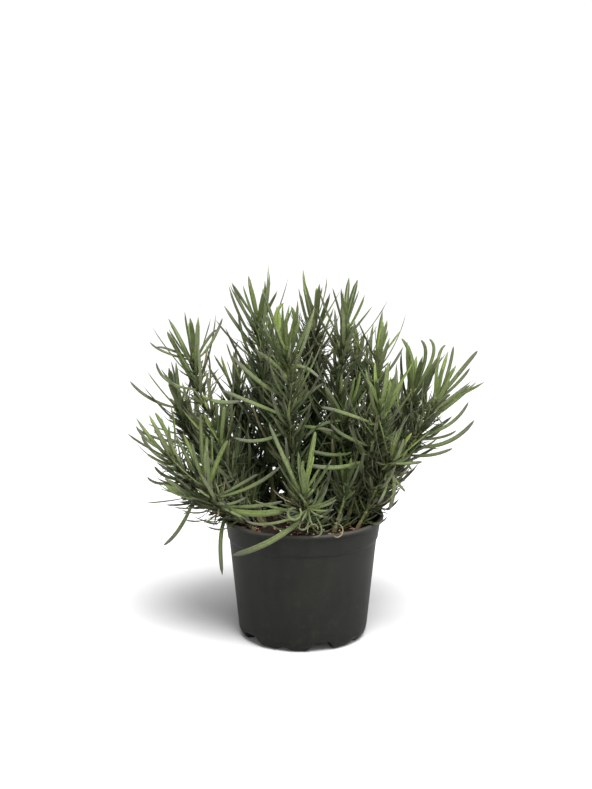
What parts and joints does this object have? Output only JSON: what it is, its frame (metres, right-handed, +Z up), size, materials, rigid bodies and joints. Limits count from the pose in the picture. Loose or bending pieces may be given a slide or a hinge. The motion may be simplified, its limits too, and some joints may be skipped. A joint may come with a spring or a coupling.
{
  "type": "potted lavender",
  "caption": "Bushy young lavender plant with narrow grey-green leaves in a round black nursery pot filled with compost.",
  "frame": {"origin": "middle of the pot's foot, on the surface that the pot stands on", "axes": "+Z up along the pot's axis, -Y towards the viewer, +X to the viewer's right"},
  "size_m": [0.2717, 0.2028, 0.2946],
  "materials": {
    "pot_plastic": "satin moulded charcoal plastic",
    "compost": "rough, moist crumbs with bark chips",
    "foliage": "matte, finely felted grey-green leaves on pale green stems"
  },
  "bodies": {
    "root": {"pot": "pot_plastic", "compost": "compost", "shoot_crown_left": "foliage", "shoot_crown_mid": "foliage", "shoot_crown_back": "foliage", "shoot_crown_right": "foliage", "shoot_centre_front": "foliage", "shoot_left_top": "foliage", "shoot_left_outer": "foliage", "shoot_left_low": "foliage", "shoot_left_inner": "foliage", "shoot_left_trailing": "foliage", "shoot_front_left": "foliage", "shoot_front_centre": "foliage", "shoot_front_right": "foliage", "shoot_inner_right": "foliage", "shoot_right_front": "foliage", "shoot_right_low": "foliage", "shoot_right_top": "foliage", "shoot_right_high": "foliage", "shoot_right_outer": "foliage", "shoot_right_rim": "foliage", "shoot_back_right_top": "foliage", "shoot_back_right_outer": "foliage", "shoot_back_right_low": "foliage", "shoot_back_right_inner": "foliage", "shoot_back_centre": "foliage", "shoot_back_centre_low": "foliage", "shoot_back_left_inner": "foliage", "shoot_back_left_top": "foliage", "shoot_back_left_outer": "foliage", "shoot_back_left_low": "foliage"}
  },
  "joints": []
}
